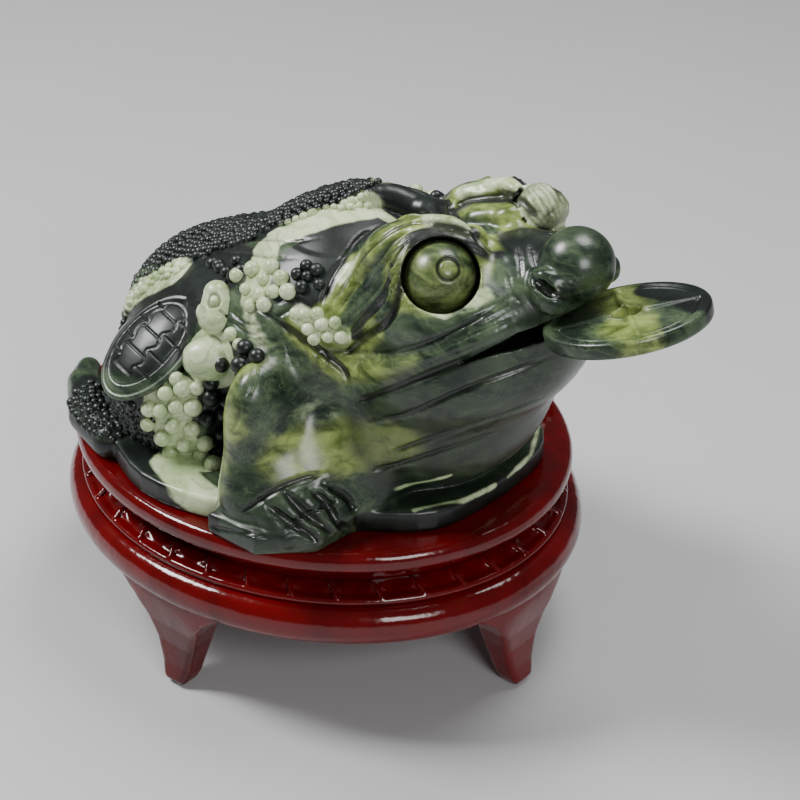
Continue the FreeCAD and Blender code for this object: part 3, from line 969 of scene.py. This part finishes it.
YELLOW = (
    ((EYE,), 18, 5, 0.8),
    (((50, 44, 68), (58, 42, 76), (68, 44, 86)), 4, 4, 0.85),
    (((42, 43, 82), (45, 34, 92), (53, 32, 105), (61, 26, 114), (72, 22, 118),
      (84, 17, 118)), 3.5, 4, 1.0),
    (LID_FORM, 6, 5, 0.9),
    (ARCH_PALE, 5, 4, 0.9),
    (((46, 27, 99), (42, 34, 91), (41, 42, 83)), 4, 4, 0.9),
    (((24, 66, 58), (26, 70, 52), (27, 76, 45)), 5, 8, 0.85),
    (((43, 70, 33), (52, 56, 33), (66, 46, 36), (77, 43, 41)), 5, 9, 0.85),
    (((52, 47, 62), (72, 46, 71), (88, 44, 79)), 3, 5, 0.52),
    (((22, 80, 18), (25, 74, 34)), 5, 7, 0.62),
    (((34, 50, 76), (44, 48, 70), (50, 47, 64)), 3, 4, 0.7),
)
DARK = (
    (((-88, 0, 34), (-60, 0, 60), (-30, 0, 82), (0, 0, 99), (16, 0, 104)), 25, 5, 1.0),
    (((-80, 34, 30), (-66, 44, 38), (-50, 38, 60), (-34, 30, 72)), 10, 6, 0.95),
    (((-24, 46, 66), (-32, 61, 48), (-37, 74, 33)), 14, 3, 1.0),
    (((-38, 26, 70), (-20, 32, 77), (-4, 39, 82)), 7, 4, 1.0),
    (((-66, 60, 18), (-48, 70, 20), (-28, 77, 22), (-20, 76, 12)), 10, 6, 0.95),
    (((38, 6, 104), (34, 14, 102), (28, 26, 99), (25, 36, 94), (25, 44, 88)), 6, 4, 1.0),
    (((33, 44, 84), (36, 40, 89), (36, 32, 95)), 4, 4, 0.8),
    (((56, 43, 78), (66, 43, 92), (69, 37, 106), (72, 29, 116), (82, 22, 119),
      (96, 17, 113)), 1.5, 3.5, 0.95),
    (CURL, 7, 1.5, 1.0, 1),
    (ARCH, 1.5, 2.5, 0.9),
    (((100, 0, 112), (108, 0, 110)), 9, 6, 0.85),
    ((NOSE,), 16, 6, 0.4),
    (((94, 30, 60), (112, 10, 66), (100, 20, 46), (86, 30, 28)), 24, 12, 0.5),
    (((70, 46, 44), (78, 42, 30)), 12, 10, 0.5),
    (((104, 30, 86), (114, 20, 96)), 6, 6, 0.5),
    (((-1, 61, 45), (7, 60, 53), (15, 59, 57), (25, 61, 62)), 4.5, 2, 1.0),
    (((4, 59, 42), (2, 59, 30), (0, 58, 20), (-3, 57, 11)), 4.5, 2, 1.0),
    (((28, 88, 8), (44, 80, 12), (60, 68, 8)), 9, 9, 0.5),
    (((24, 84, 22), (34, 82, 27), (48, 74, 24)), 4, 8, 0.5),
)
TURTLE_CREAM = ((((-4, 53, 68), (-7, 50, 76)), 8.5, 1.5, 0.95, -1), ((EGG,), 9.5, 2, 1.3, -1))
TURTLE_DARK = (
    (((-36, 58, 40), (-32, 61, 50), (-28, 56, 58)), 17, 4, 0.9, -1), (((-22, 54, 64), (-14, 55, 62),
    (2, 54, 60)), 5, 2, 1.0, -1))
COIN_YELLOW = (
    (((130, 13, 93), (141, 5, 96)), 6, 8, 0.85, 1), (((150, -8, 98), (160, -17, 101)), 6, 8, 0.85, 1))
COIN_DARK = (
    (((140, 23, 95), (152, 20, 99), (167, 12, 103)), 6, 5, 0.95, 1), (((120, -4, 90), (129, -13, 92),
    (136, -25, 94)), 3, 6, 0.55, 1), (((147, -3, 97), (166, -3, 103)), 0.8, 4, 0.55, 1))
SLAB_DARK = (11.0, 3.0)                # the slab is dark up to this height, then fades
TONES = {
    "cream_beads": {"cream": 1.3}, "pearls": {"cream": 1.1}, "side_pearls": {"cream": 0.75, "yellow": 1.0},
    "dark_beads": {"dark": 0.75}, "dark_clusters": {"dark": 1.2}, "haunch_knobs": {"dark": 0.8}}


def coverage(strokes, points):
    """How far the strongest of some strokes covers each point."""
    total = np.zeros(len(points))
    for line, radius, soft, strength, *sides in strokes:
        for side in sides or (-1, 1):
            gap = rope(mirrored(line if len(line) > 1 else line * 2, side), 0).distance(*points.T)
            total = np.maximum(total, np.clip((radius + soft - gap) / soft, 0, 1) * strength)
    return total


def eye_tones(points, side):
    """The eyeball's colours: yellow in the middle, and a ring of painted shade in the groove round the
    pupil.
    """
    from_middle = points - mirrored(EYE, side)
    along = from_middle @ unit(mirrored(GAZE, side))
    radius = np.sqrt(np.maximum((from_middle ** 2).sum(1) - along ** 2, 0))
    ring = np.abs(radius - PUPIL - PUPIL_RING / 2) / PUPIL_RING
    # Painted shade in the ring groove round the pupil.
    return {"hollow": np.clip(1.2 - 1.6 * ring, 0, 1) * (along > 0),
            "yellow": 0.58 + 0.2 * np.exp(-(radius / 5) ** 2) - 0.012 * from_middle[:, 2],
            "dark": 0.10 + 0.018 * radius}


def paint(piece, cream=CREAM, yellow=YELLOW, dark=DARK, skin=None):
    """Store how cream, yellow and dark the stone is at each corner, and how deep it lies in a carved
    groove, for painted shade there.
    """
    points = corners(piece)
    x, y, z = points.T
    amounts = {"cream": coverage(cream, points), "yellow": coverage(yellow, points),
               "dark": coverage(dark, points), "hollow": np.zeros(len(x))}
    if piece is toad:
        outside = np.hypot(x - 42, np.abs(y) - 66) > 26
        slab = outside * np.clip((SLAB_DARK[0] - z) / SLAB_DARK[1], 0, 1)
        amounts["dark"] = np.maximum(amounts["dark"], slab)
    if skin:
        # Painted shade: the deeper a corner lies under the uncarved skin, the darker it is painted.
        amounts["hollow"] = np.clip((-skin.sample(points, skin.skin) - 0.25) / 0.8, 0, 1)
    if piece.name.startswith("eye"):
        amounts.update(eye_tones(points, 1 if piece.name.endswith("left") else -1))
    if piece.name in TONES:
        for name in ("cream", "yellow", "dark"):
            amounts[name] = np.full(len(x), TONES[piece.name].get(name, 0.0))
    for name, amount in amounts.items():
        attribute = piece.data.attributes.new(name, "FLOAT", "POINT")
        attribute.data.foreach_set("value", amount.astype(np.float32))


class Nodes:
    """Short calls for building a material's nodes."""

    def __init__(self, name):
        self.material = bpy.data.materials.new(name)
        self.material.use_nodes = True
        self.tree = self.material.node_tree
        self.place = self.new("TexCoord").outputs["Object"]

    def fill(self, node, inputs):
        """Set a node's inputs, each to a number, a tuple or another node's output."""
        for name, value in inputs.items():
            socket = node.inputs[name]
            if isinstance(value, bpy.types.NodeSocket):
                self.tree.links.new(value, socket)
            else:
                socket.default_value = (*value, 1) if socket.type == "RGBA" else value

    def new(self, kind, inputs=(), **values):
        node = self.tree.nodes.new("ShaderNode" + kind)
        for name, value in values.items():
            setattr(node, name, value)
        self.fill(node, dict(inputs))
        return node

    def attribute(self, name):
        return self.new("Attribute", attribute_name=name).outputs["Fac"]

    def noise(self, scale, detail, rough=0.55, distortion=0.0, place=None):
        inputs = {"Vector": place or self.place, "Scale": scale, "Detail": detail, "Roughness": rough,
                  "Distortion": distortion}
        return self.new("TexNoise", inputs).outputs["Fac"]

    def stretched(self, scale, turn=(0, 0, 0)):
        turn = [radians(angle) for angle in turn]
        inputs = {"Vector": self.place, "Scale": scale, "Rotation": turn}
        return self.new("Mapping", inputs).outputs["Vector"]

    def math(self, kind, a, b=0.0):
        return self.new("Math", {0: a, 1: b}, operation=kind).outputs[0]

    def plus(self, a, b):
        return self.math("ADD", a, b)

    def minus(self, a, b):
        return self.math("SUBTRACT", a, b)

    def times(self, a, b):
        return self.math("MULTIPLY", a, b)

    def off_half(self, value):
        """How far a value lies from a half."""
        return self.math("ABSOLUTE", self.minus(value, 0.5))

    def spread(self, value, low, high):
        """0 at low and 1 at high, smooth between."""
        inputs = {"Value": value, "From Min": low, "From Max": high}
        return self.new("MapRange", inputs, interpolation_type="SMOOTHSTEP").outputs["Result"]

    def mix(self, amount, a, b):
        return self.new("Mix", {"Factor": amount, 6: a, 7: b}, data_type="RGBA").outputs[2]

    def bump(self, height, distance, strength):
        inputs = {"Strength": strength, "Distance": distance, "Height": height}
        return self.new("Bump", inputs).outputs["Normal"]

    def finish(self, **inputs):
        """Set the shader's inputs and give back the material."""
        shader = self.tree.nodes["Principled BSDF"]
        self.fill(shader, {name.replace("_", " "): value for name, value in inputs.items()})
        return self.material


def make_serpentine():
    """Marbled serpentine: dark, grey-green, yellow-green and cream, polished, with painted shade darkening
    the carved grooves.
    """
    n = Nodes("polished_serpentine")
    large = n.noise(24, 4, 0.55, 0.9)
    small = n.noise(70, 5, 0.6, 0.5, n.stretched((1, 1.5, 2.2), (0, 30, 20)))
    wander = n.times(n.minus(n.plus(n.times(large, 0.6), n.times(small, 0.4)), 0.5), 1.6)
    shade = n.spread(small, 0.34, 0.66)
    colour = n.mix(shade, (0.011, 0.022, 0.014), (0.066, 0.100, 0.052))
    for name, edge, low, high in (("yellow", 0.38, (0.080, 0.120, 0.022), (0.31, 0.385, 0.105)),
                                  ("dark", 0.26, (0.0018, 0.0034, 0.0027), (0.007, 0.013, 0.010)),
                                  ("cream", 0.20, (0.36, 0.47, 0.23), (0.62, 0.70, 0.45))):
        mask = n.spread(n.plus(n.attribute(name), wander), 0.5 - edge, 0.5 + edge)
        colour = n.mix(mask, colour, n.mix(shade, low, high))
        if name == "dark":
            dark = mask
    fleck = n.times(n.spread(n.noise(420, 3, 0.6), 0.60, 0.72), 0.25)
    colour = n.mix(fleck, colour, (0.02, 0.035, 0.02))
    thread = n.spread(n.off_half(n.noise(38, 3, 0.5, 1.6)), 0.0, 0.018)
    colour = n.mix(n.times(n.minus(1.0, thread), 0.30), colour, (0.012, 0.02, 0.014))
    drift = n.noise(60, 4, 0.55, 1.2, n.stretched((1, 1.6, 2.4), (0, 35, 10)))
    strand = n.minus(n.minus(1.0, n.spread(n.off_half(drift), 0.0, 0.03)), dark)
    colour = n.mix(n.times(n.math("MAXIMUM", strand), 0.18), colour, (0.22, 0.29, 0.14))
    # Painted shade: carved grooves darkened toward near-black by their depth.
    colour = n.mix(n.times(n.attribute("hollow"), 0.9), colour, (0.003, 0.005, 0.003))
    rough = n.plus(n.times(small, 0.20), n.plus(n.times(dark, 0.10), 0.20))
    return n.finish(Base_Color=colour, Roughness=rough, IOR=1.5, Coat_Weight=0.10, Coat_Roughness=0.14,
                    Subsurface_Weight=0.06, Subsurface_Radius=(0.003, 0.004, 0.002), Subsurface_Scale=1.0,
                    Normal=n.bump(n.noise(140, 4, 0.5), 0.0004, 0.25))


def make_lacquer():
    """Deep red lacquer over carved wood: brushed streaks, pooled darker tone, worn lighter spots."""
    n = Nodes("red_lacquer")
    streak = n.noise(30, 5, 0.6, 0.6, n.stretched((1.5, 1.5, 0.5)))
    cloud = n.times(n.spread(n.noise(14, 3, 0.5), 0.35, 0.7), 0.6)
    speck = n.times(n.spread(n.noise(600, 2, 0.5), 0.66, 0.74), 0.35)
    colour = n.mix(n.spread(streak, 0.3, 0.7), (0.050, 0.0006, 0.0012), (0.120, 0.0012, 0.0022))
    colour = n.mix(cloud, colour, (0.165, 0.0022, 0.0026))
    colour = n.mix(speck, colour, (0.02, 0.001, 0.001))
    height = n.plus(n.noise(45, 3, 0.5), n.times(n.noise(260, 2, 0.5), 0.12))
    return n.finish(Base_Color=colour, Roughness=n.plus(n.times(streak, 0.12), 0.08), IOR=1.42,
                    Coat_Weight=0.25, Coat_Roughness=0.05, Normal=n.bump(height, 0.0022, 0.45))


def make_peg_wood():
    n = Nodes("turned_peg_wood")
    grain = n.noise(90, 5, 0.6, 0.4, n.stretched((6, 6, 0.6)))
    colour = n.mix(n.spread(grain, 0.3, 0.7), (0.22, 0.12, 0.05), (0.46, 0.30, 0.15))
    return n.finish(Base_Color=colour, Roughness=0.6, Normal=n.bump(grain, 0.0003, 0.3))


def make_screw_steel():
    n = Nodes("zinc_screw_steel")
    haze = n.noise(500, 3, 0.6)
    return n.finish(Base_Color=n.mix(haze, (0.42, 0.43, 0.45), (0.62, 0.62, 0.60)), Metallic=1.0,
                    Roughness=n.plus(n.times(haze, 0.2), 0.25))


SERPENTINE = make_serpentine()
for piece in stones:
    if piece is turtle:
        paint(piece, TURTLE_CREAM, (), TURTLE_DARK, turtle_clay)
    else:
        paint(piece, skin=clay if piece is toad else None)
    piece.data.materials.append(SERPENTINE)
paint(coin, (), COIN_YELLOW, COIN_DARK)
coin.data.materials.append(SERPENTINE)
LACQUER = make_lacquer()
for piece in lacquered:
    piece.data.materials.append(LACQUER)
for node, material in (("stand_waist", LACQUER), ("leg_dowels", make_peg_wood()),
                       ("deck_screws", make_screw_steel())):
    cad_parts[node].data.materials.clear()
    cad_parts[node].data.materials.append(material)


# ---- floor, light, camera
CAMERA_AZIMUTH, CAMERA_ELEVATION = 40.0, 31.3
CAMERA_DISTANCE = 0.890
CAMERA_LENS = 100.0
AIM_ASIDE, AIM_HEIGHT = 0.0316, 0.0896


def build_stage():
    bpy.ops.mesh.primitive_plane_add(size=40)
    floor = bpy.context.object
    floor.name = "floor"
    n = Nodes("floor_paper")
    colour = n.mix(n.noise(8, 2), (0.50, 0.50, 0.51), (0.54, 0.54, 0.55))
    floor.data.materials.append(n.finish(Base_Color=colour, Roughness=0.75))
    world = bpy.data.worlds.new("studio")
    bpy.context.scene.world = world
    world.use_nodes = True
    background = world.node_tree.nodes["Background"]
    background.inputs["Color"].default_value = (0.5, 0.5, 0.52, 1)
    background.inputs["Strength"].default_value = 0.20


def hang(name, data, place, back):
    """Put a light or a camera at a place, with its back toward a direction."""
    thing = bpy.data.objects.new(name, data)
    thing.location = place
    thing.rotation_euler = back.to_track_quat("Z", "Y").to_euler()
    bpy.context.collection.objects.link(thing)
    return thing


def add_light(name, place, size, power, aim):
    data = bpy.data.lights.new(name, "AREA")
    data.size = size
    data.energy = power
    hang(name, data, place, Vector(place) - Vector(aim))


def build_camera():
    a, e = radians(CAMERA_AZIMUTH), radians(CAMERA_ELEVATION)
    back = Vector((sin(a) * cos(e), -cos(a) * cos(e), sin(e)))
    aside = Vector((cos(a), sin(a), 0))
    aim = Vector((CENTRE_X, 0, AIM_HEIGHT)) + aside * AIM_ASIDE
    data = bpy.data.cameras.new("camera")
    data.lens = CAMERA_LENS
    data.sensor_width = 36
    bpy.context.scene.camera = hang("camera", data, aim + back * CAMERA_DISTANCE, back)


build_stage()
add_light("key", (-0.75, -0.45, 1.1), 0.4, 22, (0, 0, 0.12))
add_light("fill", (1.0, -0.55, 0.75), 0.45, 8, (0, 0, 0.1))
add_light("top", (0.1, 0.35, 1.1), 0.5, 9, (0, 0, 0.12))
build_camera()
